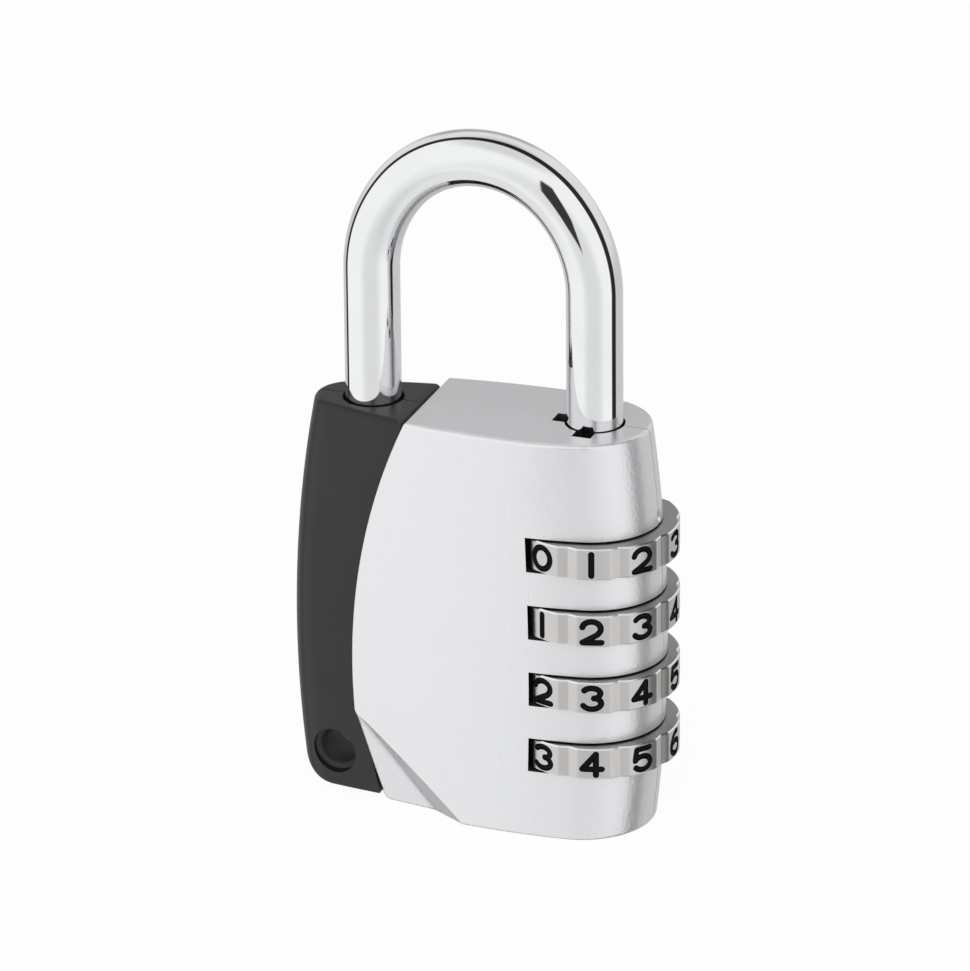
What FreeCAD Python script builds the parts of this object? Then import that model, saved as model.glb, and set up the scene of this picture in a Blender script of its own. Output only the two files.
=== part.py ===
import FreeCAD, Part
import math
import os

from FreeCAD import Vector

# Four-dial combination padlock, shackle closed, millimetres.
# Origin: on the base, midway between the shackle legs, on the mid plane. +Z up, front towards -Y.

# Body, silver part
body_height = 49.0
body_right_x = 21.8
right_edge_radius = 190.0
right_edge_peak_z = 23.0
silver_half = 9.2
silver_peak_x = 6.5
silver_left_face_radius = 95.0
silver_right_foot_radius = 60.0
silver_right_top_radius = 30.0
silver_side_radius = 570.0
silver_side_peak_z = 20.0
silver_hidden_left_x = -20.0
rim_round = 0.5

# Body, black part
cover_left_x = -23.15
left_edge_radius = 150.0
left_edge_peak_z = 20.0
cover_top_half = 7.05
cover_foot_half = 5.6
cover_bulge = 0.45
cover_top_plan_radius = 50.0
cover_foot_plan_radius = 120.0
cover_peak_x = 0.0
cover_hidden_right_x = 17.0
cover_top_step = 0.35
cover_foot_step = 0.65
cover_corner_radius = 5.0
cover_rim_round = 0.8
cover_foot_round = 0.4

# Seam between the silver and the black part, in front view
seam_radius = 73.7
seam_left_x = -13.97
seam_left_z = 17.6
seam_kink_z = 11.85
seam_foot_x = -10.95
seam_foot_round = 1.0
seam_gap = 0.2

# Sunk facet in the silver part's lower left
facet_foot_x = 0.3
valley_foot_x = -4.2
valley_foot_y = 5.9
facet_foot_y = 4.75
valley_round = 3.0

# Shackle
shackle_d = 6.5
leg_spacing = 27.0
leg_top_z = 64.6
arch_side_extra = 2.5
arch_rise_extra = 1.35
toe_depth = 4.8
toe_chamfer = 0.8
lug_stand = 1.35
lug_width = 2.2
lug_height = 2.0

# Dials and the code sleeves inside them
ring_wall = 3.75
dial_height = 3.8
dial_pitch = 8.3
top_dial_z = 35.4
dial_count = 4
code_places = 10
groove_width = 2.3
groove_depth = 0.35
dial_edge = 0.15
sleeve_wall = 1.1
code_travel = 1.2
tooth_height = 1.0
tooth_width = 1.8
tooth_reach = 0.8
tooth_bottom = 0.3

# Clearances
leg_clearance = 0.25
toe_clearance = 0.35
sleeve_clearance = 0.12
bore_clearance = 0.10
slot_clearance = 0.20
dial_gap = 0.20
dial_running_gap = 0.65
tooth_gap = 0.15
lug_gap = 0.15
lug_side_gap = 0.30
lug_floor_gap = 0.35
stack_gap = 0.10
stop_gap = 0.30

# Details of the housing
floor_thickness = 1.8
notch_width = 2.3
notch_reach = 4.85
notch_depth = 3.5
parting_width = 0.14
parting_depth = 0.14
seam_edge_round = 0.15
toe_hole_extra = 0.4
lanyard_x = -17.25
lanyard_z = 5.2
lanyard_bore_r = 2.1
lanyard_bore_length = 4.4
lanyard_mouth_r = 2.8
lanyard_mouth_y = 3.3
mark_r = 0.6
mark_depth = 0.4
mark_height = 2.2
core_left_x = -7.5
core_right_x = 0.8
core_bottom_z = 11.0
core_top_z = 38.0
core_half = 5.4
core_corner = 2.0

# Pins, springs and washer
shell_pin_r = 1.2
shell_pin_length = 9.0
shell_pin_x = -2.5
shell_pin_zs = (7.0, 42.5)
cover_pin_r = 0.9
cover_pin_length = 6.0
cover_pin_y = 2.6
cover_pin_zs = (13.0, 33.0)
pin_clearance = 0.05
click_angle = 162.0
click_thickness = 0.25
click_half_length = 2.6
click_rise = 1.45
click_height = 2.4
click_gap = 0.10
reset_wire = 0.6
reset_turns = 3
washer_thickness = 0.4
washer_gap = 0.15
washer_bore_gap = 0.35
seat_gap = 0.05

# Values that follow from the sizes above
leg_r = shackle_d / 2
heel_x = leg_spacing / 2
arch_side_radius = heel_x + arch_side_extra
arch_rise = heel_x + arch_rise_extra
lug_reach = leg_r + lug_stand
sleeve_chamber_r = lug_reach + lug_side_gap
sleeve_r = sleeve_chamber_r + sleeve_wall
dial_r = sleeve_r + ring_wall
washer_r = sleeve_r - washer_gap
washer_bore_r = leg_r + washer_bore_gap
reset_coil_r = (washer_r + washer_bore_r) / 2
dial_zs = [top_dial_z - i * dial_pitch for i in range(dial_count)]
sleeve_height = dial_pitch - stack_gap
chamber_height = lug_height + code_travel + lug_gap + lug_floor_gap
lug_top_drop = sleeve_height / 2 - chamber_height + code_travel + lug_gap
dial_slot_r = dial_r + dial_running_gap
dial_slot_height = dial_height + dial_gap * 2
sleeve_bore_r = sleeve_r + sleeve_clearance
heel_end_z = floor_thickness + stop_gap
top_lug_z = top_dial_z - lug_top_drop
lug_stop_z = top_lug_z + dial_pitch + stop_gap
sleeve_stop_z = top_dial_z + sleeve_height / 2 + stack_gap
far = 80.0


def sag(radius, offset):
    """Drop of an arc of this radius at this distance from its crown."""
    return radius - math.sqrt(radius * radius - offset * offset)


def right_x(z):
    return body_right_x - sag(right_edge_radius, z - right_edge_peak_z)


def left_x(z):
    return cover_left_x + sag(left_edge_radius, z - left_edge_peak_z)


def silver_half_at(z):
    return silver_half - sag(silver_side_radius, z - silver_side_peak_z)


def cover_half_at(z):
    """Half-thickness of the black part at its crown: slimmer at the foot, a little full in the middle."""
    share = z / body_height
    return cover_foot_half + (cover_top_half - cover_foot_half) * share + cover_bulge * 4 * share * (1 - share)


def cover_radius_at(z):
    return cover_foot_plan_radius + (cover_top_plan_radius - cover_foot_plan_radius) * z / body_height


def silver_right_radius_at(z):
    return silver_right_foot_radius + (silver_right_top_radius - silver_right_foot_radius) * z / body_height


def silver_left_y(x, z):
    """Half-thickness of the silver part's face at a point left of its crown."""
    return silver_half_at(z) - sag(silver_left_face_radius, x - silver_peak_x)


def end_round(half, reach, radius):
    """Radius of the end circle that touches both face arcs and ends at this reach from their crown."""
    return (half * (2 * radius - half) - reach * reach) / (2 * (radius - reach))


def face_end(half, reach, radius, side, peak_x):
    """Where a face arc turns into the tangent end circle on one side."""
    end_x = reach - end_round(half, reach, radius)
    centre_y = radius - half
    stretch = radius / math.hypot(end_x, centre_y)
    return peak_x + side * end_x * stretch, centre_y - centre_y * stretch


def plan_wire(z, low_x, high_x, half, peak_x, left_radius, right_radius):
    """Closed plan outline: two shallow arcs on each face, joined by a tangent end circle on each side."""
    lx, ly = face_end(half, peak_x - low_x, left_radius, -1, peak_x)
    rx, ry = face_end(half, high_x - peak_x, right_radius, 1, peak_x)

    def face_arc(radius, end_x, end_y, side):
        middle_x = (peak_x + end_x) / 2
        middle_y = half - sag(radius, middle_x - peak_x)
        peak = Vector(peak_x, side * half, z)
        end = Vector(end_x, -side * end_y, z)
        return Part.Arc(peak, Vector(middle_x, side * middle_y, z), end).toShape()

    right = Part.Arc(Vector(rx, ry, z), Vector(high_x, 0, z), Vector(rx, -ry, z)).toShape()
    left = Part.Arc(Vector(lx, -ly, z), Vector(low_x, 0, z), Vector(lx, ly, z)).toShape()
    edges = [face_arc(right_radius, rx, ry, -1), right, face_arc(right_radius, rx, ry, 1)]
    edges += [face_arc(left_radius, lx, ly, 1), left, face_arc(left_radius, lx, ly, -1)]
    return Part.Wire(edges)


def section_heights(low, high):
    steps = 4
    return [low + (high - low) * i / steps for i in range(steps + 1)]


def silver_envelope():
    """Barrel-shaped outside of the silver part, before the seam and the facet are cut."""
    wires = []
    for z in section_heights(0.0, body_height):
        radii = (silver_left_face_radius, silver_right_radius_at(z))
        wires.append(plan_wire(z, silver_hidden_left_x, right_x(z), silver_half_at(z), silver_peak_x, *radii))
    return Part.makeLoft(wires, True, False)


def cover_envelope():
    """Outside of the black part, a little lower and thinner than the silver one."""
    wires = []
    for z in section_heights(cover_foot_step, body_height - cover_top_step):
        radius = cover_radius_at(z)
        half = cover_half_at(z)
        wires.append(plan_wire(z, left_x(z), cover_hidden_right_x, half, cover_peak_x, radius, radius))
    return Part.makeLoft(wires, True, False)


def seam_x(z):
    return seam_left_x + sag(seam_radius, z - seam_left_z)


def seam_region(offset, side):
    """Everything on one side of the seam, moved sideways by the offset, as a block through the body."""
    over = 3.0
    top_z = body_height + over
    kink_x = seam_x(seam_kink_z) + offset
    slope = (seam_foot_x - seam_x(seam_kink_z)) / seam_kink_z
    middle_z = (top_z + seam_kink_z) / 2
    top = Vector(seam_x(top_z) + offset, -far, top_z)
    middle = Vector(seam_x(middle_z) + offset, -far, middle_z)
    kink = Vector(kink_x, -far, seam_kink_z)
    foot = Vector(seam_foot_x + offset + slope * over, -far, -over)
    low_far = Vector(side * far, -far, -over)
    high_far = Vector(side * far, -far, top_z)
    edges = [Part.Arc(top, middle, kink).toShape()]
    for start, end in ((kink, foot), (foot, low_far), (low_far, high_far), (high_far, top)):
        edges.append(Part.makeLine(start, end))
    face = Part.Face(Part.Wire(edges))
    return face.extrude(Vector(0, 2 * far, 0))


def facet_cutter():
    """Wedge that sinks the lower left of the front: a flat facet and a slope that meet in a round valley."""
    kink_x = seam_x(seam_kink_z)
    kink = Vector(kink_x, -silver_left_y(kink_x, seam_kink_z), seam_kink_z)
    valley_foot = Vector(valley_foot_x, -valley_foot_y, 0)
    slope_foot = Vector(facet_foot_x, -silver_left_y(facet_foot_x, 0), 0)
    facet_foot = Vector(seam_foot_x, -facet_foot_y, 0)
    along = (valley_foot - kink).normalize()

    def square_to_valley(point):
        arm = point - kink
        return (arm - along * arm.dot(along)).normalize()

    slope_arm = square_to_valley(slope_foot)
    facet_arm = square_to_valley(facet_foot)
    out = (Vector(0, -1, 0) - along * Vector(0, -1, 0).dot(along)).normalize()
    half_angle = slope_arm.getAngle(facet_arm) / 2
    setback = valley_round / math.tan(half_angle)
    bisector = (slope_arm + facet_arm).normalize()
    lead = 20
    length = 60
    start = kink - along * lead
    arc_middle = start + bisector * (valley_round / math.sin(half_angle) - valley_round)
    reach = 30
    a = start + slope_arm * reach
    b = start + slope_arm * setback
    c = start + facet_arm * setback
    d = start + facet_arm * reach
    e = d + out * reach
    f = a + out * reach
    edges = [
        Part.makeLine(a, b),
        Part.Arc(b, arc_middle, c).toShape(),
        Part.makeLine(c, d),
        Part.makeLine(d, e),
        Part.makeLine(e, f),
        Part.makeLine(f, a),
    ]
    return Part.Face(Part.Wire(edges)).extrude(along * length)


def mirrored(shape):
    return shape.mirror(Vector(0, 0, 0), Vector(0, 1, 0))


def rim_edges(shape, heights):
    """Edges that lie flat at one of these heights."""
    found = []
    for edge in shape.Edges:
        box = edge.BoundBox
        for z in heights:
            if abs(box.ZMin - z) < 0.01 and abs(box.ZMax - z) < 0.01:
                found.append(edge)
    return found


def seam_edges(shape):
    """Edges of the silver part that rise along the seam, on both faces."""
    low_x = seam_x(seam_kink_z)
    slope = (low_x - seam_foot_x) / seam_kink_z
    found = []
    for edge in shape.Edges:
        middle = edge.CenterOfMass
        line_x = seam_x(middle.z) if middle.z > seam_kink_z else seam_foot_x + slope * middle.z
        rises = edge.BoundBox.ZLength > seam_edge_round / 2 and edge.BoundBox.YLength < cover_foot_half
        if rises and abs(middle.x - line_x) < seam_edge_round:
            found.append(edge)
    return found


def half_of(shape, side):
    """The part of a shape in front of (side -1) or behind (side 1) the mid plane."""
    low_y = -far if side < 0 else 0
    return shape.common(Part.makeBox(2 * far, far, 3 * far, Vector(-far, low_y, -far)))


def cylinder(radius, low, high, x=heel_x):
    return Part.makeCylinder(radius, high - low, Vector(x, 0, low))


def dial_cavities():
    """Room for the dials, sleeves and heel, common to both silver halves."""
    over = 2.0
    cutter = cylinder(sleeve_bore_r, floor_thickness, sleeve_stop_z)
    cutter = cutter.fuse(cylinder(sleeve_chamber_r + bore_clearance, sleeve_stop_z - over, lug_stop_z))
    cutter = cutter.fuse(cylinder(leg_r + leg_clearance, lug_stop_z - over, body_height + over))
    for z in dial_zs:
        low = z - dial_slot_height / 2
        cutter = cutter.fuse(cylinder(dial_slot_r, low, low + dial_slot_height))
    return cutter


def keyway_notches():
    """Two open notches in the rim of the heel's hole, towards the toe and towards the front."""
    low = body_height - notch_depth
    side = Part.makeBox(notch_reach, notch_width, notch_depth + 1)
    side.translate(Vector(heel_x - notch_reach, -notch_width / 2, low))
    front = Part.makeBox(notch_width, notch_reach, notch_depth + 1)
    front.translate(Vector(heel_x - notch_width / 2, -notch_reach, low))
    return side.fuse(front)


def index_mark():
    """Drop-shaped dent above the top dial, that the code is read against: it runs out to a point on top."""
    ball_z = top_dial_z + dial_slot_height / 2 + mark_r
    centre = Vector(right_x(ball_z) - mark_depth + mark_r, 0, ball_z)
    rise = mark_height - mark_r
    trough = Part.makeCylinder(mark_r, 2 * rise, centre, Vector(mark_depth, 0, rise))
    return Part.makeSphere(mark_r, centre).fuse(trough)


def parting_groove(edge_radius, edge_x, peak_z, top_z, start_x, side):
    """Fine groove where the front and rear halves meet, over the top from start_x and down one end."""
    width = parting_width
    over = 5.0
    length = abs(edge_x - start_x) + over
    low_x = start_x if side > 0 else start_x - length
    plate = Part.makeBox(length, width, body_height + 2 * over, Vector(low_x, -width / 2, -over))
    above = Part.makeBox(length, width, far, Vector(low_x, -width / 2, top_z - parting_depth))
    centre = Vector(edge_x - side * edge_radius, -width, peak_z)
    core = Part.makeCylinder(edge_radius - parting_depth, 2 * width, centre, Vector(0, 1, 0))
    return plate.cut(core).fuse(plate.common(above))


def core_pocket():
    """Hollow left in the middle of the casting, behind the flat of the front and of the back."""
    box = Part.makeBox(core_right_x - core_left_x, 2 * core_half, core_top_z - core_bottom_z)
    box.translate(Vector(core_left_x, -core_half, core_bottom_z))
    upright = [edge for edge in box.Edges if edge.BoundBox.YLength > core_half]
    return box.makeFillet(core_corner, upright)


def cross_pins(extra_r, extra_length):
    """Pins along Y that line up and hold the two silver halves."""
    length = shell_pin_length + 2 * extra_length
    pins = []
    for z in shell_pin_zs:
        start = Vector(shell_pin_x, -length / 2, z)
        pins.append(Part.makeCylinder(shell_pin_r + extra_r, length, start, Vector(0, 1, 0)))
    return pins


def side_pins(extra_r, extra_length):
    """Pins along X that cross the seam and hold each black half to its silver half."""
    length = cover_pin_length + 2 * extra_length
    pins = []
    for z in cover_pin_zs:
        for side in (-1, 1):
            start = Vector(seam_x(z) - length / 2, side * cover_pin_y, z)
            pins.append(Part.makeCylinder(cover_pin_r + extra_r, length, start, Vector(1, 0, 0)))
    return pins


def click_bow():
    """Bow of the leaf in plan, its crown towards the dial: centre distance, radius and half angle."""
    radius = (click_half_length ** 2 + click_rise ** 2) / (2 * click_rise)
    return dial_r + click_gap + radius, radius, math.asin(click_half_length / radius)


def click_spring(z):
    """Steel leaf whose crown faces the grooves between the digits of one dial."""
    centre_u, radius, angle = click_bow()
    inside = radius - click_thickness

    def at(r, turn):
        return Vector(centre_u - r * math.cos(turn), r * math.sin(turn), 0)

    outer_arc = Part.Arc(at(radius, -angle), at(radius, 0), at(radius, angle)).toShape()
    inner_arc = Part.Arc(at(inside, angle), at(inside, 0), at(inside, -angle)).toShape()
    sides = [
        Part.makeLine(at(radius, angle), at(inside, angle)),
        Part.makeLine(at(inside, -angle), at(radius, -angle)),
    ]
    wire = Part.Wire([outer_arc, sides[0], inner_arc, sides[1]])
    leaf = Part.Face(wire).extrude(Vector(0, 0, click_height))
    return placed_at_click(leaf, z - click_height / 2)


def click_pocket(z):
    """Pocket in the rear silver half that holds one leaf, open to the dial's slot."""
    centre_u, radius, angle = click_bow()
    back_u = centre_u - (radius - click_thickness) * math.cos(angle) + seat_gap
    half_length = click_half_length + seat_gap * 2
    height = click_height + seat_gap * 4
    overlap = 1.5
    box = Part.makeBox(back_u - dial_r + overlap, 2 * half_length, height)
    box.translate(Vector(dial_r - overlap, -half_length, 0))
    return placed_at_click(box, z - height / 2)


def placed_at_click(shape, z):
    """Turns a shape drawn along +X to the leaf's direction from the dial axis."""
    shape.rotate(Vector(0, 0, 0), Vector(0, 0, 1), click_angle)
    shape.translate(Vector(heel_x, 0, z))
    return shape


def silver_halves():
    body = silver_envelope().common(seam_region(0, 1))
    foot = [edge for edge in rim_edges(body, (0.0,)) if edge.BoundBox.XMax < seam_foot_x + 0.01]
    body = body.makeFillet(seam_foot_round, foot)
    wedge = facet_cutter()
    body = body.cut(wedge).cut(mirrored(wedge))
    body = body.makeFillet(rim_round, rim_edges(body, (0.0, body_height)))
    body = body.makeFillet(seam_edge_round, seam_edges(body))
    body = body.cut(dial_cavities()).cut(keyway_notches()).cut(core_pocket())
    groove_edge = (right_edge_radius, body_right_x, right_edge_peak_z)
    body = body.cut(parting_groove(*groove_edge, body_height, heel_x, 1)).cut(index_mark())
    for hole in cross_pins(pin_clearance, seat_gap) + side_pins(pin_clearance, seat_gap):
        body = body.cut(hole)
    front = half_of(body, -1)
    rear = half_of(body, 1)
    for z in dial_zs:
        rear = rear.cut(click_pocket(z))
    return front, rear


def corner_cutter():
    """Takes the black part's lower left corner off to a round of the stated radius."""
    centre_z = cover_foot_step + cover_corner_radius
    centre_x = left_x(centre_z) + cover_corner_radius
    block = Part.makeBox(far, 2 * far, far)
    block.translate(Vector(centre_x - far, -far, centre_z - far))
    round_bar = Part.makeCylinder(cover_corner_radius, 2 * far, Vector(centre_x, -far, centre_z), Vector(0, 1, 0))
    return block.cut(round_bar)


def lanyard_cutter():
    """Through hole for a lanyard, with a rim that flares out to both faces."""
    straight = lanyard_bore_length / 2
    flare = lanyard_mouth_r - lanyard_bore_r
    a = Vector(0, 0, 0)
    b = Vector(lanyard_bore_r, 0, 0)
    c = Vector(lanyard_bore_r, straight, 0)
    d = Vector(lanyard_mouth_r, lanyard_mouth_y, 0)
    e = Vector(lanyard_mouth_r, cover_top_half, 0)
    f = Vector(0, cover_top_half, 0)
    half_way = math.radians(45)
    bend_r = lanyard_bore_r + flare * (1 - math.cos(half_way))
    bend = Vector(bend_r, straight + (lanyard_mouth_y - straight) * math.sin(half_way), 0)
    edges = [
        Part.makeLine(a, b),
        Part.makeLine(b, c),
        Part.Arc(c, bend, d).toShape(),
        Part.makeLine(d, e),
        Part.makeLine(e, f),
        Part.makeLine(f, a),
    ]
    hole = Part.Face(Part.Wire(edges)).revolve(Vector(0, 0, 0), Vector(0, 1, 0), 360)
    hole = hole.fuse(mirrored(hole))
    hole.translate(Vector(lanyard_x, 0, lanyard_z))
    return hole


def black_halves():
    top_z = body_height - cover_top_step
    body = cover_envelope().common(seam_region(-seam_gap, -1))
    body = body.cut(corner_cutter())
    body = body.makeFillet(cover_rim_round, rim_edges(body, (top_z,)))
    body = body.makeFillet(cover_foot_round, rim_edges(body, (cover_foot_step,)))
    toe_end = top_z - toe_depth - toe_hole_extra
    body = body.cut(cylinder(leg_r + toe_clearance, toe_end, body_height + 1, -heel_x))
    groove_edge = (left_edge_radius, cover_left_x, left_edge_peak_z)
    body = body.cut(parting_groove(*groove_edge, top_z, 0, -1))
    body = body.cut(lanyard_cutter())
    for hole in side_pins(pin_clearance, seat_gap):
        body = body.cut(hole)
    return half_of(body, -1), half_of(body, 1)


def arc_bar(centre, radius, start_deg, sweep_deg):
    """Round bar bent to an arc in the front view; angles counted from +X towards +Z."""
    start = math.radians(start_deg)
    middle = centre + Vector(radius * math.cos(start), 0, radius * math.sin(start))
    tangent = Vector(-math.sin(start), 0, math.cos(start))
    disc = Part.Face(Part.Wire(Part.makeCircle(leg_r, middle, tangent)))
    return disc.revolve(centre, Vector(0, -1, 0), sweep_deg)


def shackle_arch():
    """Three tangent arcs: a wider one over each leg and a tighter one across the top."""
    side_shift = arch_side_radius - heel_x
    top_radius = (arch_side_radius ** 2 - side_shift ** 2 - arch_rise ** 2) / (2 * (arch_side_radius - arch_rise))
    rise = arch_rise - top_radius
    turn = math.degrees(math.atan2(rise, side_shift))
    right = arc_bar(Vector(-side_shift, 0, leg_top_z), arch_side_radius, 0, turn)
    top = arc_bar(Vector(0, 0, leg_top_z + rise), top_radius, turn, 180 - 2 * turn)
    left = arc_bar(Vector(side_shift, 0, leg_top_z), arch_side_radius, 180 - turn, turn)
    return right.fuse([top, left])


def lug(z_top):
    """Lug on the heel, towards the toe, that only passes a sleeve through its slot."""
    block = Part.makeBox(lug_reach, lug_width, lug_height)
    block.translate(Vector(heel_x - lug_reach, -lug_width / 2, z_top - lug_height))
    return block.common(cylinder(lug_reach, z_top - lug_height, z_top))


def shackle():
    """One bent bar: short toe on the left, long heel with its lugs on the right."""
    toe_z = body_height - cover_top_step - toe_depth
    toe = Part.makeCylinder(leg_r, leg_top_z - toe_z, Vector(-heel_x, 0, toe_z))
    toe = toe.makeChamfer(toe_chamfer, rim_edges(toe, (toe_z,)))
    heel = cylinder(leg_r, heel_end_z, leg_top_z)
    heel = heel.makeChamfer(toe_chamfer, rim_edges(heel, (heel_end_z,)))
    bar = shackle_arch().fuse([toe, heel])
    for z in dial_zs:
        bar = bar.fuse(lug(z - lug_top_drop))
    return bar.removeSplitter()


def round_the_axis(shape, count, phase=0.0):
    """Copies of a shape drawn along +X at equal turns about +Z."""
    copies = []
    for i in range(count):
        turned = shape.copy()
        turned.rotate(Vector(0, 0, 0), Vector(0, 0, 1), phase + i * 360.0 / count)
        copies.append(turned)
    return copies


def dial_groove():
    """V-shaped groove between two digits, drawn on +X, with flanks that start on the rim."""
    foot = Vector(dial_r - groove_depth, 0, -dial_height)
    rim = Vector(dial_r - sag(dial_r, groove_width / 2), groove_width / 2, -dial_height)
    beyond = foot + (rim - foot) * 2
    opposite = Vector(beyond.x, -beyond.y, beyond.z)
    edges = [Part.makeLine(foot, beyond), Part.makeLine(beyond, opposite), Part.makeLine(opposite, foot)]
    return Part.Face(Part.Wire(edges)).extrude(Vector(0, 0, 2 * dial_height))


def dial():
    """Number ring, centred on the origin: digit pads outside, notches for the sleeve's tooth inside."""
    half = dial_height / 2
    over = 0.5
    ring = Part.makeCylinder(dial_r, dial_height, Vector(0, 0, -half))
    ring = ring.makeChamfer(dial_edge, rim_edges(ring, (-half, half)))
    ring = ring.cut(round_the_axis(dial_groove(), code_places, 180.0 / code_places))
    bore = Part.makeCylinder(sleeve_r + bore_clearance, dial_height + 2 * over, Vector(0, 0, -half - over))
    ring = ring.cut(bore)
    notch_r = sleeve_r + tooth_reach + tooth_gap
    free = Part.makeCylinder(notch_r, half + tooth_bottom - seat_gap + over, Vector(0, 0, -half - over))
    ring = ring.cut(free)
    width = tooth_width + 2 * tooth_gap
    bar = Part.makeBox(notch_r, width, dial_height, Vector(0, -width / 2, -half))
    bar = bar.common(Part.makeCylinder(notch_r, dial_height, Vector(0, 0, -half)))
    top = tooth_bottom + tooth_height + tooth_gap
    bar = bar.common(Part.makeCylinder(far, top + half, Vector(0, 0, -half)))
    return ring.cut(round_the_axis(bar, code_places))


def code_sleeve():
    """Sleeve, centred on the origin: narrow slotted bore on top, wide chamber for a lug below."""
    half = sleeve_height / 2
    body = Part.makeCylinder(sleeve_r, sleeve_height, Vector(0, 0, -half))
    body = body.cut(Part.makeCylinder(sleeve_chamber_r, chamber_height, Vector(0, 0, -half)))
    body = body.cut(Part.makeCylinder(leg_r + bore_clearance, sleeve_height, Vector(0, 0, -half)))
    width = lug_width + 2 * slot_clearance
    slot = Part.makeBox(lug_reach + slot_clearance, width, sleeve_height)
    slot.translate(Vector(-lug_reach - slot_clearance, -width / 2, -half))
    body = body.cut(slot)
    tooth = Part.makeBox(sleeve_r + tooth_reach, tooth_width, tooth_height)
    tooth.translate(Vector(0, -tooth_width / 2, tooth_bottom))
    tooth = tooth.common(Part.makeCylinder(sleeve_r + tooth_reach, dial_height, Vector(0, 0, -dial_height / 2)))
    tooth = tooth.cut(Part.makeCylinder(sleeve_r - sleeve_wall / 2, dial_height, Vector(0, 0, -dial_height / 2)))
    return body.fuse(tooth).removeSplitter()


def reset_spring():
    """Coil spring round the heel's end that holds the sleeves up, each half turn a tilted half ring."""
    low = floor_thickness + seat_gap + reset_wire / 2
    high = washer_bottom_z() - seat_gap - reset_wire / 2
    half_turns = []
    for i in range(2 * reset_turns):
        side = 1 - 2 * (i % 2)
        start = Vector(side * reset_coil_r, 0, i * (high - low) / (2 * reset_turns))
        end = Vector(-side * reset_coil_r, 0, (i + 1) * (high - low) / (2 * reset_turns))
        centre = (start + end) / 2
        tangent = Vector(0, side, 0)
        disc = Part.Face(Part.Wire(Part.makeCircle(reset_wire / 2, start, tangent)))
        half_turns.append(disc.revolve(centre, (start - centre).cross(tangent), 180))
    coil = half_turns[0].fuse(half_turns[1:])
    coil.translate(Vector(heel_x, 0, low))
    return coil


def washer_bottom_z():
    return dial_zs[-1] - sleeve_height / 2 - seat_gap - washer_thickness


def spring_washer():
    """Flat washer between the coil spring and the lowest sleeve."""
    low = washer_bottom_z()
    plate = cylinder(washer_r, low, low + washer_thickness)
    return plate.cut(cylinder(washer_bore_r, low - 1, low + washer_thickness + 1))


def save(name, shape):
    """Writes one sub-part and prints how many solids it has, and its volume."""
    print(name, len(shape.Solids), "solids", round(shape.Volume, 2), "mm3", shape.isValid())
    shape.exportStep("parts/" + name + ".step")


def main():
    os.makedirs("parts", exist_ok=True)
    front, rear = silver_halves()
    save("front_shell", front)
    save("rear_shell", rear)
    front, rear = black_halves()
    save("front_side_cover", front)
    save("rear_side_cover", rear)
    save("shackle", shackle())
    ring = dial()
    sleeve = code_sleeve()
    for i, z in enumerate(dial_zs):
        number = str(i + 1)
        place = Vector(heel_x, 0, z)
        save("dial_" + number, ring.translated(place))
        save("code_sleeve_" + number, sleeve.translated(place))
        save("click_spring_" + number, click_spring(z))
    save("reset_spring", reset_spring())
    save("spring_washer", spring_washer())
    save("shell_pins", Part.makeCompound(cross_pins(0, 0)))
    save("cover_pins", Part.makeCompound(side_pins(0, 0)))


main()
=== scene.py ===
# %% [markdown]
# # A four-dial combination padlock
# The imported part is loaded first. It brings every casting, pin, sleeve and spring at its true
# size and place, and the script only dresses it.

# %% Load the frame
import math

import bmesh
import bpy
from mathutils import Matrix, Vector


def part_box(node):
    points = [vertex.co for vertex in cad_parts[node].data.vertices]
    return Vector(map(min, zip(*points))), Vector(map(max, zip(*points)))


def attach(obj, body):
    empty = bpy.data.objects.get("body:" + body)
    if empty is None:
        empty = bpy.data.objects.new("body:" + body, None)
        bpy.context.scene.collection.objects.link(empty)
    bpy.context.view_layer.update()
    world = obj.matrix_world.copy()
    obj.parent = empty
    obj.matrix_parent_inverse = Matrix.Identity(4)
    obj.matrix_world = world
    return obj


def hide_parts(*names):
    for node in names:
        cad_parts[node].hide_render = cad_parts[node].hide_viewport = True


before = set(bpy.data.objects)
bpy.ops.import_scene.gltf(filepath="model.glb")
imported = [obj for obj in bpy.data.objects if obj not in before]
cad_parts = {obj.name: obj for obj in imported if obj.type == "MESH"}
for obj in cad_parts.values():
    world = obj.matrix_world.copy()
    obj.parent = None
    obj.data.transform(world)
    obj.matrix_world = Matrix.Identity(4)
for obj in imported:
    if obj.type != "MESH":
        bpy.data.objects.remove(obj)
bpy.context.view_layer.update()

mm = 0.001

# %% [markdown]
# Sizes are read off the frame instead of being typed again, so the dressed pieces follow the part
# when it changes. The number rings give the axis that they turn about, their radius and height.
# The bar of the shackle is round, so its thickness along Y is its diameter.

# %% Measure the frame
ring_low, ring_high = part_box("dial_1")
axis_x = (ring_low.x + ring_high.x) / 2
ring_radius = (ring_high.x - ring_low.x) / 2
ring_half = (ring_high.z - ring_low.z) / 2
bar_low, bar_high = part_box("shackle")
bar_radius = (bar_high.y - bar_low.y) / 2
leg_x = (bar_high.x - bar_low.x) / 2 - bar_radius
dial_count = 4
place_count = 10
print("ring radius %.2f mm, bar radius %.2f mm" % (ring_radius / mm, bar_radius / mm))

# %% [markdown]
# A finish is a small graph of nodes, and sums in it read best as sums. This class holds one
# output of a node and knows how to add, subtract, multiply and divide, with plain numbers on
# either side, so `1 - grain` makes a Math node by itself. Every other kind of node comes from the
# one method `node`, which takes the kind, its settings and what goes into its sockets.

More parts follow.
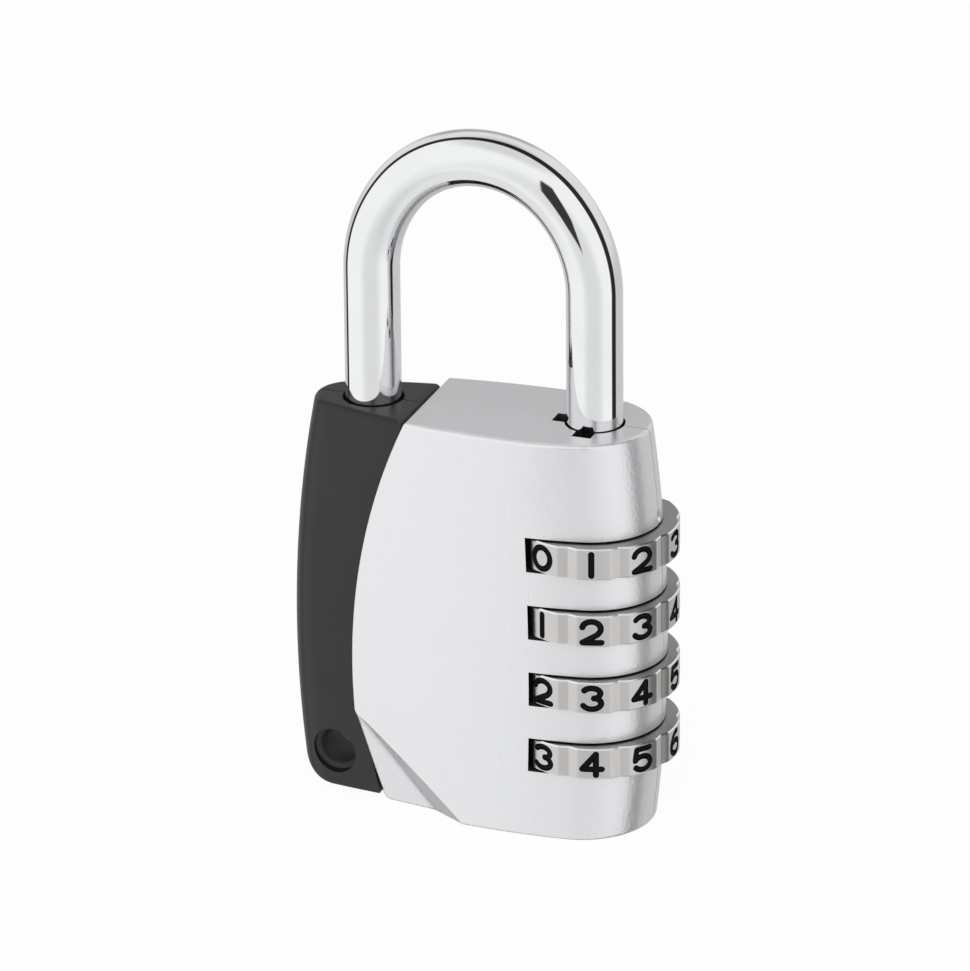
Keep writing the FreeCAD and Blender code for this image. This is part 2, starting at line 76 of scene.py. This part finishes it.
# %% A socket that can be calculated with
class Socket:
    def __init__(self, tree, output=None):
        self.tree = tree
        self.output = output

    def node(self, kind, settings=None, inputs=None, output=0):
        made = self.tree.nodes.new(kind)
        for name, value in (settings or {}).items():
            setattr(made, name, value)
        for name, value in (inputs or {}).items():
            if isinstance(value, Socket):
                self.tree.links.new(value.output, made.inputs[name])
            else:
                made.inputs[name].default_value = value
        return Socket(self.tree, made.outputs[output])

    def maths(self, operation, first, second=0.0):
        return self.node("ShaderNodeMath", {"operation": operation}, {0: first, 1: second})

    def __add__(self, other):
        return self.maths("ADD", self, other)

    def __sub__(self, other):
        return self.maths("SUBTRACT", self, other)

    def __rsub__(self, other):
        return self.maths("SUBTRACT", other, self)

    def __mul__(self, other):
        return self.maths("MULTIPLY", self, other)

    def __truediv__(self, other):
        return self.maths("DIVIDE", self, other)

    def __abs__(self):
        return self.maths("ABSOLUTE", self)

    __radd__ = __add__
    __rmul__ = __mul__

    def ramp(self, low, high):
        """0 below the low value and 1 above the high one, with soft ends."""
        settings = {"interpolation_type": "SMOOTHSTEP"}
        inputs = {"Value": self, "From Min": low, "From Max": high}
        return self.node("ShaderNodeMapRange", settings, inputs)

    def tint(self, low, high):
        """A colour between two colours."""
        inputs = {0: self, 6: low, 7: high}
        return self.node("ShaderNodeMix", {"data_type": "RGBA"}, inputs, output=2)


print("socket class ready")

# %% [markdown]
# Every finish starts the same way: a material whose constants sit on the shader's own sockets,
# and the place on the part as a source for patterns. `noise` gives a grain of a stated size, in
# metres, because a scale in grains a metre is hard to picture.

# %% Start a finish
def grey(value, warmth=0.0):
    return (value * (1 + warmth), value, value * (1 - warmth), 1.0)


class Finish:
    def __init__(self, name, **constants):
        self.material = bpy.data.materials.new(name)
        self.material.use_nodes = True
        tree = self.material.node_tree
        self.shader = tree.nodes["Principled BSDF"]
        self.start = Socket(tree)
        self.place = self.start.node("ShaderNodeTexCoord", output="Object")
        for name, value in constants.items():
            self.shader.inputs[name.replace("_", " ")].default_value = value

    def noise(self, size, detail=2.0, stretch=(1, 1, 1)):
        multiply = {"operation": "MULTIPLY"}
        vector = self.start.node("ShaderNodeVectorMath", multiply, {0: self.place, 1: stretch})
        inputs = {"Vector": vector, "Scale": 1 / size, "Detail": detail}
        return self.start.node("ShaderNodeTexNoise", inputs=inputs)

    def feed(self, **links):
        for name, value in links.items():
            self.start.tree.links.new(value.output, self.shader.inputs[name.replace("_", " ")])

    def bump(self, height, depth, strength=1.0):
        inputs = {"Height": height, "Distance": depth, "Strength": strength}
        self.feed(Normal=self.start.node("ShaderNodeBump", inputs=inputs))


print("finish class ready")

# %% [markdown]
# The silver casting is sprayed with a lacquer that holds fine metal flakes. Each flake is a
# fraction of a millimetre and tips the light its own way, which gives the sparkle where the
# surface turns away from the lamps. A fine noise tips the surface and shades the colour, and a
# slow one keeps the large flat face from looking printed.

# %% Silver lacquer
def silver_lacquer():
    finish = Finish("silver_lacquer", Metallic=0.78, IOR=1.5)
    flakes = finish.noise(flake_size)
    cloud = finish.noise(9 * mm)
    shade = flakes * 0.5 + cloud * 0.5
    finish.feed(Base_Color=shade.tint((0.75, 0.755, 0.77, 1), (0.79, 0.795, 0.81, 1)))
    finish.feed(Roughness=flakes * 0.16 + 0.24)
    finish.bump(flakes, 0.05 * mm, 0.7)
    return finish.material


flake_size = 0.32 * mm
silver = silver_lacquer()
print("finish", silver.name)

# %% [markdown]
# The side cover is black and satin, with a barely visible grain left by the tool it was cast or
# moulded in. Its gloss changes a little over the surface, which the eye reads as a real skin.

# %% Black cover
def black_satin():
    finish = Finish("black_satin", IOR=1.5, Specular_IOR_Level=0.42)
    grain = finish.noise(0.12 * mm)
    cloud = finish.noise(6 * mm)
    finish.feed(Base_Color=cloud.tint(grey(0.009), grey(0.014)))
    finish.feed(Roughness=grain * 0.12 + 0.34)
    finish.bump(grain, 0.006 * mm, 0.35)
    return finish.material


black = black_satin()
print("finish", black.name)

# %% [markdown]
# Chrome is nearly a mirror, so almost all of its look comes from what stands around it. What is
# left for the material is a slight blue-grey colour and a polish that isn't perfectly even. The
# rings are dull nickel, with a lighter copy of it on the chamfered edges as a painted highlight and
# a darker copy on the top, bottom and bore faces as painted shade. Where a metal was turned or
# ground, its grain is stretched along one direction.

# %% Chrome, nickel, brass and steel
def metal(name, dark, light, roughness, spread, size, depth, stretch=(1, 1, 1)):
    """A bare or plated metal with an uneven polish."""
    finish = Finish(name, Metallic=1.0)
    grain = finish.noise(size, stretch=stretch)
    finish.feed(Base_Color=grain.tint(dark, light))
    finish.feed(Roughness=grain * spread + (roughness - spread / 2))
    finish.bump(grain, depth, 0.4)
    return finish.material


chrome = metal("bright_chrome", grey(0.83, -0.01), grey(0.90, -0.01),
               roughness=0.045, spread=0.03, size=5 * mm, depth=0.0)
nickel = metal("dull_nickel", grey(0.56, 0.02), grey(0.68, 0.02),
               roughness=0.30, spread=0.12, size=0.3 * mm, depth=0.006 * mm, stretch=(1, 1, 3))
# Painted highlight: a lighter copy of the nickel for the rings' chamfered edges.
nickel_painted_highlight = metal("nickel_painted_highlight", grey(0.80, 0.01), grey(0.92, 0.01),
                    roughness=0.20, spread=0.08, size=0.3 * mm, depth=0.003 * mm)
# Painted shade: a darker copy of the nickel for the rings' top, bottom and bore faces.
nickel_painted_shade = metal("nickel_painted_shade", grey(0.30, 0.02), grey(0.41, 0.02),
                    roughness=0.34, spread=0.10, size=0.25 * mm, depth=0.004 * mm)
brass = metal("turned_brass", (0.60, 0.42, 0.19, 1), (0.78, 0.58, 0.29, 1),
              roughness=0.28, spread=0.12, size=0.5 * mm, depth=0.004 * mm, stretch=(1, 1, 6))
spring_steel = metal("spring_steel", grey(0.42, -0.01), grey(0.56, -0.01),
                     roughness=0.25, spread=0.10, size=0.6 * mm, depth=0.003 * mm)
pin_steel = metal("pin_steel", grey(0.38), grey(0.50),
                  roughness=0.35, spread=0.12, size=0.4 * mm, depth=0.004 * mm)
print("metals ready")

# %% [markdown]
# The digits are sunk into the rings and filled with black paint. The fill has its own finish, so
# that the cut can bring it along.

# %% Black fill of the digits
def digit_fill():
    finish = Finish("digit_fill", IOR=1.48, Specular_IOR_Level=0.1)
    cloud = finish.noise(0.4 * mm)
    finish.feed(Base_Color=cloud.tint(grey(0.002), grey(0.005)))
    finish.feed(Roughness=cloud * 0.2 + 0.35)
    return finish.material


fill = digit_fill()
print("finish", fill.name)

# %% [markdown]
# Bores, slots and notches of the castings get a near-black colour: painted shade, standing in for
# the shadow deep inside them.

# %% Painted shade inside
def inside_painted_shade():
    finish = Finish("inside_painted_shade", Metallic=0.2)
    cloud = finish.noise(1.5 * mm)
    # Painted shade: a near-black colour for the insides of bores, slots and notches.
    finish.feed(Base_Color=cloud.tint(grey(0.02), grey(0.035)))
    finish.feed(Roughness=cloud * 0.2 + 0.5)
    return finish.material


inside = inside_painted_shade()
print("finish", inside.name)

# %% [markdown]
# Most of the frame's pieces already have their exact shape and only need a finish, and that is all
# they get here. The pieces built below are shaded smooth, with edges kept crisp where two faces
# meet at more than 30 degrees.

# %% Dress the pieces that stay
def shade(mesh, angle=30):
    mesh.shade_smooth()
    mesh.set_sharp_from_angle(angle=math.radians(angle))


click_springs = ["click_spring_%d" % (i + 1) for i in range(dial_count)]
dressing = {
    silver: ["front_shell", "rear_shell"],
    black: ["front_side_cover", "rear_side_cover"],
    brass: ["code_sleeve_%d" % (i + 1) for i in range(dial_count)],
    spring_steel: [*click_springs, "reset_spring", "spring_washer"],
    pin_steel: ["shell_pins", "cover_pins"],
}
for material, names in dressing.items():
    for name in names:
        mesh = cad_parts[name].data
        mesh.materials.clear()
        mesh.materials.append(material)
    print(material.name, "on", len(names), "pieces")

# %% [markdown]
# The castings get the painted shade wherever a face looks towards the axis of a bore: the axis of
# the dials, the axis of the toe's hole and the axis of the lanyard hole. Steps in a bore face
# along its axis, so they count as well. How far a face may lie from the axis, and how far along
# it, keeps the outer skin out.

# %% Darken the insides
def darken(name, axis, centre, reach, depth):
    """Gives the faces that look towards an axis, within a reach of it, the painted shade of the
    inside.
    """
    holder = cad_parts[name]
    mesh = holder.data
    mesh.materials.append(inside)
    count = 0
    for face in mesh.polygons:
        inward = centre - holder.matrix_world @ face.center
        along = abs(inward.dot(axis))
        inward -= axis * inward.dot(axis)
        looks_in = inward.length > 0 and inward.normalized().dot(face.normal) > 0.1
        faces_along = abs(face.normal.dot(axis)) > 0.9
        if inward.length < reach and along < depth and (looks_in or faces_along):
            face.material_index = len(mesh.materials) - 1
            count += 1
    return count


up = Vector((0, 0, 1))
across = Vector((0, 1, 0))
body_low, body_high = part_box("front_shell")
middle_z = (body_low.z + body_high.z) / 2
slot_reach = ring_radius + 0.7 * mm
slot_depth = middle_z - 0.6 * mm
toe_reach = bar_radius + 0.4 * mm
toe_depth = slot_depth - 0.4 * mm
lanyard_place = Vector((-17.25 * mm, 0, 5.2 * mm))
lanyard_reach, lanyard_depth = 2.7 * mm, 3.2 * mm
for side in ("front", "rear"):
    shell, cover = side + "_shell", side + "_side_cover"
    counts = [darken(shell, up, Vector((axis_x, 0, middle_z)), slot_reach, slot_depth)]
    counts.append(darken(cover, up, Vector((-leg_x, 0, middle_z)), toe_reach, toe_depth))
    counts.append(darken(cover, across, lanyard_place, lanyard_reach, lanyard_depth))
    print(side, "faces inside", counts)

# %% [markdown]
# The shackle is one bent bar. In the frame it has as many flats as a solid needs, but a mirror
# finish shows every flat, so here the same bar is swept again with far more steps: a ring of
# points is carried along the line of the bar. The line is a straight heel, three arcs that run
# into each other and a straight toe, exactly as the frame has them.

# %% Line of the shackle
arch_side_extra, arch_rise_extra = 2.5 * mm, 1.35 * mm
arch_side_radius = leg_x + arch_side_extra
arch_rise = leg_x + arch_rise_extra
arch_foot_z = bar_high.z - bar_radius - arch_rise
heel_steps, side_steps, top_steps, toe_steps = 12, 24, 72, 8


def shackle_line():
    """Points and directions along the bar, from the heel's end over the arch to the toe's end."""
    shift = arch_side_radius - leg_x
    squares = arch_side_radius ** 2 - shift ** 2 - arch_rise ** 2
    top_radius = squares / (2 * (arch_side_radius - arch_rise))
    top_z = arch_foot_z + arch_rise - top_radius
    turn = math.atan2(arch_rise - top_radius, shift)
    line = []

    def along_arc(centre_x, centre_z, radius, start, end, steps):
        for i in range(steps + 1):
            a = start + (end - start) * i / steps
            point = Vector((centre_x + radius * math.cos(a), 0, centre_z + radius * math.sin(a)))
            line.append((point, Vector((-math.sin(a), 0, math.cos(a)))))

    toe_low = min(v.co.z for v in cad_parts["shackle"].data.vertices if v.co.x < 0)
    for i in range(heel_steps):
        z = bar_low.z + (arch_foot_z - bar_low.z) * i / heel_steps
        line.append((Vector((leg_x, 0, z)), up))
    along_arc(-shift, arch_foot_z, arch_side_radius, 0, turn, side_steps)
    along_arc(0, top_z, top_radius, turn, math.pi - turn, top_steps)
    along_arc(shift, arch_foot_z, arch_side_radius, math.pi - turn, math.pi, side_steps)
    for i in range(1, toe_steps + 1):
        z = arch_foot_z + (toe_low - arch_foot_z) * i / toe_steps
        line.append((Vector((-leg_x, 0, z)), -up))
    return line


line = shackle_line()
print("shackle line", len(line), "points")

# %% [markdown]
# The sweep carries a ring of 96 points along the line. Both ends are turned down to a small
# chamfer and closed with a flat. Nothing twists, because the whole line lies in one plane. Four
# lugs stand on the heel, one in the chamber of each code sleeve.

# %% Sweep the bar
def sweep(line, radius, sides=96, chamfer=0.8 * mm):
    first, last = line[0], line[-1]
    rings = [(first[0], first[1], radius - chamfer)]
    rings.append((first[0] + first[1] * chamfer, first[1], radius))
    rings += [(point, way, radius) for point, way in line[1:-1]]
    rings.append((last[0] - last[1] * chamfer, last[1], radius))
    rings.append((last[0], last[1], radius - chamfer))
    turns = [2 * math.pi * i / sides for i in range(sides)]
    bm = bmesh.new()
    loops = []
    for point, way, r in rings:
        side = across.cross(way)
        outs = [side * math.cos(t) + across * math.sin(t) for t in turns]
        loops.append([bm.verts.new(point + out * r) for out in outs])
    for a, b in zip(loops, loops[1:]):
        for i in range(sides):
            j = (i + 1) % sides
            bm.faces.new((a[i], a[j], b[j], b[i]))
    bm.faces.new(reversed(loops[0]))
    bm.faces.new(loops[-1])
    bmesh.ops.remove_doubles(bm, verts=bm.verts, dist=1e-6)
    bmesh.ops.recalc_face_normals(bm, faces=bm.faces)
    return bm


def add_block(bm, low, high):
    """A plain block, for a lug."""
    size = Vector(high) - Vector(low)
    centre = (Vector(high) + Vector(low)) / 2
    place = Matrix.Translation(centre) @ Matrix.Diagonal((*size, 1))
    bmesh.ops.create_cube(bm, size=1, matrix=place)


def piece(name, bm, *materials):
    mesh = bpy.data.meshes.new(name)
    bm.to_mesh(mesh)
    bm.free()
    shade(mesh)
    for material in materials:
        mesh.materials.append(material)
    made = bpy.data.objects.new(name, mesh)
    bpy.context.scene.collection.objects.link(made)
    return made


lug_reach, lug_width, lug_height = 4.6 * mm, 2.2 * mm, 2.0 * mm
lug_floor_gap = 0.35 * mm
bm = sweep(line, bar_radius)
for i in range(dial_count):
    sleeve_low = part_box("code_sleeve_%d" % (i + 1))[0]
    lug_low = sleeve_low.z + lug_floor_gap
    low = (leg_x - lug_reach, -lug_width / 2, lug_low)
    high = (leg_x - bar_radius / 2, lug_width / 2, lug_low + lug_height)
    add_block(bm, low, high)
shackle_bar = piece("shackle_bar", bm, chrome)
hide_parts("shackle")
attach(shackle_bar, "shackle")
print("shackle bar", len(shackle_bar.data.polygons), "faces")

# %% [markdown]
# A number ring has ten pads, one for each digit, with a shallow trough between each two. Its
# outline is a circle whose radius dips at every trough, so the ring is a grid: a few rows of the
# section, repeated every half degree with the radius of that degree. Ten notches inside take the
# tooth of the code sleeve. The ring and the digits are drawn in millimetres and scaled at the
# end, because the solver that cuts them likes plain sizes.

# %% Ring with its troughs
ring_r = ring_radius / mm
ring_h = ring_half / mm
trough_depth = 0.35
trough_half_width = 6.8
ring_chamfer = 0.15
ring_wall = 3.65
bore_r = ring_r - ring_wall
notch_depth = 0.85
notch_r = bore_r + notch_depth
notch_half_width = 9.0
notch_low, notch_high = 0.25, 1.45
place_pitch = 360 / place_count
# SIDE faces take the painted shade and EDGE faces the painted highlight.
PAD, SIDE, EDGE = 0, 2, 3  # the fill of the digits is 1


def ring_radius_at(degree):
    """Outer radius, with a trough half way between each two digits."""
    off = math.hypot(degree % place_pitch - place_pitch / 2, trough_half_width / 12)
    return ring_r - trough_depth * max(0, 1 - off / trough_half_width)


def ring_body(steps=720):
    bm = bmesh.new()
    columns = []
    for i in range(steps):
        degree = 360 * i / steps
        outer = ring_radius_at(degree)
        off = abs((degree + place_pitch / 2) % place_pitch - place_pitch / 2)
        inner = notch_r if off < notch_half_width else bore_r
        rows = [
            (notch_r, -ring_h), (outer - ring_chamfer, -ring_h), (outer, -ring_h + ring_chamfer),
            (outer, ring_h - ring_chamfer), (outer - ring_chamfer, ring_h), (bore_r, ring_h),
            (bore_r, notch_high), (inner, notch_high), (inner, notch_low), (notch_r, notch_low),
        ]
        a = math.radians(degree)
        columns.append([bm.verts.new((r * math.cos(a), r * math.sin(a), z)) for r, z in rows])
    for here, there in zip(columns, columns[1:] + columns[:1]):
        for j in range(len(here)):
            k = (j + 1) % len(here)
            face = bm.faces.new((here[j], there[j], there[k], here[k]))
            face.material_index = (SIDE, EDGE, PAD, EDGE)[j] if j < 4 else SIDE
    bmesh.ops.remove_doubles(bm, verts=bm.verts, dist=1e-5)
    bmesh.ops.recalc_face_normals(bm, faces=bm.faces)
    return bm


print("trough depth %.2f mm" % trough_depth)

# %% [markdown]
# The digits are plain strokes of even width with round ends, the way an engraving cutter leaves
# them. Each one is drawn in a box of 1 by 1 as a few lines and arcs, and a stroke ends wherever
# it turns a corner. An arc needs a centre, two radii and the angles at which it starts and ends.

# %% Strokes of the digits
def arc(x, y, rx, ry, start, end, steps=16):
    turns = [math.radians(start + (end - start) * i / steps) for i in range(steps + 1)]
    return [(x + rx * math.cos(t), y + ry * math.sin(t)) for t in turns]


def run(*points, steps=8):
    """Straight runs between points, in short steps that can follow the ring's curve."""
    line = [points[0]]
    for (x0, y0), (x1, y1) in zip(points, points[1:]):
        for i in range(1, steps + 1):
            line.append((x0 + (x1 - x0) * i / steps, y0 + (y1 - y0) * i / steps))
    return line


digit_strokes = {
    0: [arc(0, 0, 0.5, 0.5, 90, 450, 36)],
    1: [run((0, 0.5), (0, -0.5))],
    2: [arc(0, 0.16, 0.47, 0.34, 170, -40) + run((0.3, -0.12), (-0.46, -0.5)),
        run((-0.46, -0.5), (0.5, -0.5))],
    3: [arc(0, 0.25, 0.44, 0.25, 150, -75), arc(0, -0.23, 0.48, 0.27, 75, -155)],
    4: [run((0.2, -0.5), (0.2, 0.5)), run((0.2, 0.5), (-0.5, -0.22)),
        run((-0.5, -0.22), (0.5, -0.22))],
    5: [run((0.42, 0.5), (-0.34, 0.5)), run((-0.34, 0.5), (-0.42, 0.04)),
        arc(0, -0.18, 0.48, 0.32, 150, -145)],
    6: [arc(0.15, -0.18, 0.61, 0.68, 80, 180), arc(0, -0.2, 0.46, 0.3, 90, 450, 32)],
    7: [run((-0.48, 0.5), (0.48, 0.5)), run((0.48, 0.5), (-0.12, -0.5))],
    8: [arc(0, 0.26, 0.38, 0.24, -90, 270, 28), arc(0, -0.24, 0.46, 0.26, 90, 450, 32)],
    9: [arc(0, 0.2, 0.46, 0.3, 90, 450, 32), arc(-0.15, 0.18, 0.61, 0.68, 0, -100)],
}
print(len(digit_strokes), "digits")

# %% [markdown]
# The cutter of a stroke is a tube that lies on the ring with its axis in the surface, so it takes
# off a half-round gutter. An open tube ends in half a ball. Every tube is closed in itself, which
# is what the solver needs, and overlapping tubes go one after the other. The digits stand a
# little left of the middle of their pads.

# %% Tube along a stroke
stroke_r = 0.37
digit_height = 3.35 - 2 * stroke_r
digit_width = 3.0 - 2 * stroke_r
digit_shift = 0.22
tube_lift = 0.02


def on_ring(x, y, digit):
    """Place, and direction straight out, of a point of a digit on the ring."""
    a = math.radians(digit * place_pitch) + (x * digit_width - digit_shift) / ring_r
    out = Vector((math.cos(a), math.sin(a), 0))
    return out * (ring_r + tube_lift) + Vector((0, 0, y * digit_height)), out


def tube(digit, stroke, sides=14, cap_steps=4):
    closed = math.dist(stroke[0], stroke[-1]) < 1e-6
    points = [on_ring(x, y, digit) for x, y in (stroke[:-1] if closed else stroke)]
    count = len(points)
    rings = []
    for i, (place, out) in enumerate(points):
        if closed:
            before, after = points[i - 1], points[(i + 1) % count]
        else:
            before, after = points[max(i - 1, 0)], points[min(i + 1, count - 1)]
        way = (after[0] - before[0]).normalized()
        rings.append((place, way, out, stroke_r))
    if not closed:
        for end, sign in ((0, -1), (-1, 1)):
            place, way, out, r = rings[end]
            cap = []
            for i in range(1, cap_steps):
                t = math.radians(90 * i / cap_steps)
                cap.append((place + way * (sign * r * math.sin(t)), way, out, r * math.cos(t)))
            tip = place + way * (sign * r)
            if sign < 0:
                rings, low_tip = cap[::-1] + rings, tip
            else:
                rings, high_tip = rings + cap, tip
    turns = [2 * math.pi * i / sides for i in range(sides)]
    bm = bmesh.new()
    loops = []
    for place, way, out, r in rings:
        side = way.cross(out).normalized()
        top = side.cross(way)
        outs = [side * math.cos(t) + top * math.sin(t) for t in turns]
        loops.append([bm.verts.new(place + out * r) for out in outs])
    pairs = list(zip(loops, loops[1:])) + ([(loops[-1], loops[0])] if closed else [])
    for a, b in pairs:
        for i in range(sides):
            j = (i + 1) % sides
            bm.faces.new((a[i], a[j], b[j], b[i]))
    if not closed:
        for loop, tip in ((loops[0], low_tip), (loops[-1], high_tip)):
            pole = bm.verts.new(tip)
            for i in range(sides):
                bm.faces.new((loop[i], loop[(i + 1) % sides], pole))
    bmesh.ops.recalc_face_normals(bm, faces=bm.faces)
    return bm


print("stroke %.2f mm wide" % (2 * stroke_r))

# %% [markdown]
# Each stroke is taken off with the exact solver, one after the other. The cut faces take the
# cutter's material, which is the black fill. The four rings share the mesh that results: each is
# the same ring, turned so that its own digits face front.

# %% Cut one ring
def cut_ring():
    ring = piece("number_ring", ring_body(), nickel, fill, nickel_painted_shade, nickel_painted_highlight)
    tools = []
    for digit, strokes in digit_strokes.items():
        for stroke in strokes:
            tool = piece("stroke", tube(digit, stroke), fill)
            cut = ring.modifiers.new("stroke", "BOOLEAN")
            cut.operation = "DIFFERENCE"
            cut.solver = "EXACT"
            cut.material_mode = "TRANSFER"
            cut.object = tool
            tools.append(tool)
    bpy.context.view_layer.update()
    evaluated = ring.evaluated_get(bpy.context.evaluated_depsgraph_get())
    mesh = bpy.data.meshes.new_from_object(evaluated)
    for old in (ring, *tools):
        bpy.data.objects.remove(old)
    mesh.transform(Matrix.Scale(mm, 4))
    shade(mesh)
    return mesh


ring_mesh = cut_ring()
print("cut ring", len(ring_mesh.polygons), "faces", [m.name for m in ring_mesh.materials])

# %% [markdown]
# Seen from the front, digit 1 of the top ring stands 18 degrees right of the middle, digit 2 next
# to it, and so on. Each lower ring is one place further on.

# %% Place the four rings
first_front_digit = 1
front_degree = -90 + place_pitch / 2
for i in range(dial_count):
    low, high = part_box("dial_%d" % (i + 1))
    ring = bpy.data.objects.new("number_ring_%d" % (i + 1), ring_mesh.copy())
    bpy.context.scene.collection.objects.link(ring)
    turn = math.radians(front_degree - (first_front_digit + i) * place_pitch)
    place = Matrix.Translation((axis_x, 0, (low.z + high.z) / 2))
    ring.data.transform(place @ Matrix.Rotation(turn, 4, "Z"))
    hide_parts("dial_%d" % (i + 1))
    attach(ring, "dial_%d" % (i + 1))
print(dial_count, "rings placed")

# %% [markdown]
# The studio is a white tent. Chrome needs something dark to show its shape, and in a tent that is
# the gap between the front and the back cloth: it draws a thin dark line along each round bar.
# The back cloth is a little dimmer, with a grey card in it that the flat top mirrors. The opening
# that the camera looks through is dimmer too, and a slim dark stand beside it leaves a dark mark
# on the bend of the bar. The world holds all this as a function of direction. The camera sees
# plain white instead.

# %% World as a tent
def tent():
    world = bpy.data.worlds.new("tent")
    bpy.context.scene.world = world
    world.use_nodes = True
    start = Socket(world.node_tree)
    way = start.node("ShaderNodeTexCoord", output="Generated")
    x, y, z = (start.node("ShaderNodeSeparateXYZ", inputs={0: way}, output=i) for i in range(3))
    # The gap between the cloths is wider on the right, and a little more so on the upper right.
    upper_right = x.ramp(0.3, 0.7) * z.ramp(-0.2, 0.4)
    right = x.ramp(-0.6, 0.4)
    gap_half = 0.09 + right * 0.055 + upper_right * 0.02
    gap_place = 0.2 + right * 0.02 + upper_right * 0.03
    gap = (abs(y - gap_place) - gap_half).ramp(0, 0.05)
    # The back cloth is dimmer near the floor, and dimmest at the grey card.
    card = z.ramp(-0.05, 0.1) * (1 - z.ramp(0.4, 0.55)) * (1 - abs(x + 0.3).ramp(0.2, 0.38))
    back = 1 - y.ramp(0.1, 0.4) * (0.36 - z.ramp(-0.2, 0.1) * 0.18 + card * 0.37)
    # The opening for the camera, the crown of the tent and its foot are a little dimmer too.
    facing = x * 0.25 - y * 0.933 - z * 0.259
    opening = 1 - facing.ramp(0.70, 0.99) * 0.20
    crown = 1 - z.ramp(0.75, 0.95) * 0.25
    low = 1 - (0 - z).ramp(0.45, 0.7) * 0.15
    # The stand is a slanted strip in front, narrower at both ends.
    edge = abs(x * 2 - z - 0.3 + z.ramp(0.1, 0.6) * 0.12) - 0.32 + abs(z - 0.12) * 0.45
    stand = (1 - edge.ramp(0, 0.05)) * (z + 0.2).ramp(0, 0.04)
    stand = stand * (1 - z.ramp(0.5, 0.58)) * (0 - y).ramp(0.4, 0.6)
    light = (gap * 0.97 + 0.03) * back * opening * crown * low * (1 - stand * 0.95)
    seen = start.node("ShaderNodeLightPath", output="Is Camera Ray")
    colour = (light + seen * (1 - light)).tint((0, 0, 0, 1), (1, 1, 1, 1))
    background = world.node_tree.nodes["Background"]
    world.node_tree.links.new(colour.output, background.inputs["Color"])
    background.inputs["Strength"].default_value = 1.0


tent()
print("tent ready")

# %% [markdown]
# One large soft lamp at the front gives the broad light of the front face. It lights the metal
# but isn't seen in it, because the tent already is what the metal mirrors.

# %% Lamps
def soft_lamp(name, place, target, size, watts):
    lamp = bpy.data.lights.new(name, "AREA")
    lamp.shape = "SQUARE"
    lamp.size = size
    lamp.energy = watts
    holder = bpy.data.objects.new(name, lamp)
    holder.location = place
    holder.rotation_mode = "QUATERNION"
    holder.rotation_quaternion = (Vector(place) - Vector(target)).to_track_quat("Z", "Y")
    holder.visible_glossy = False
    bpy.context.scene.collection.objects.link(holder)


soft_lamp("front_lamp", (0.15, -0.65, 0.2), (0, 0, 0.04), 0.5, 3.3)
print("lamp ready")

# %% [markdown]
# The floor is pale and matt. The camera sees it almost as white as the background, so that its
# edge doesn't show, and it keeps a part of its own shade, which holds the shadow of the padlock.

# %% Floor
def pale_floor():
    bm = bmesh.new()
    bmesh.ops.create_grid(bm, x_segments=1, y_segments=1, size=1.5)
    finish = Finish("pale_floor", Base_Color=grey(0.9), Roughness=0.9)
    start = finish.start
    output = start.tree.nodes["Material Output"]
    glow = start.node("ShaderNodeEmission", inputs={"Color": grey(1.0), "Strength": 1.0})
    shader = Socket(start.tree, finish.shader.outputs[0])
    seen = start.node("ShaderNodeLightPath", output="Is Camera Ray")
    mixed = start.node("ShaderNodeMixShader", inputs={0: seen * 0.95, 1: shader, 2: glow})
    start.tree.links.new(mixed.output, output.inputs["Surface"])
    floor = piece("floor", bm, finish.material)
    floor.visible_glossy = False


pale_floor()
print("floor ready")

# %% [markdown]
# The camera stands to the right of the front and looks down at the padlock through a long lens,
# which keeps upright edges nearly parallel. Its place follows from the direction it looks from
# and its distance.

# %% Camera
azimuth = math.radians(20.366)
elevation = math.radians(22.838)
roll = math.radians(-0.513)
distance = 961.24 * mm
target_side = 0.06 * mm
target_drop = 6.644 * mm
target_height = 46.5 * mm
sensor = 36.0
focal_pixels = 8390
frame_pixels = 970


def photo_camera():
    level = Vector((math.sin(azimuth), -math.cos(azimuth), 0))
    back = level * math.cos(elevation) + up * math.sin(elevation)
    right = Vector((math.cos(azimuth), math.sin(azimuth), 0))
    upright = back.cross(right)
    side = right * math.cos(roll) + upright * math.sin(roll)
    top = upright * math.cos(roll) - right * math.sin(roll)
    data = bpy.data.cameras.new("camera")
    data.sensor_width = sensor
    data.sensor_fit = "HORIZONTAL"
    data.lens = focal_pixels / frame_pixels * sensor
    data.clip_start = 0.01
    camera = bpy.data.objects.new("camera", data)
    target = right * target_side - upright * target_drop + up * target_height
    turn = Matrix((side, top, back)).transposed().to_4x4()
    camera.matrix_world = Matrix.Translation(target + back * distance) @ turn
    bpy.context.scene.collection.objects.link(camera)
    bpy.context.scene.camera = camera
    bpy.context.scene.view_settings.view_transform = "Standard"
    return camera


camera = photo_camera()
print("lens %.1f mm" % camera.data.lens)
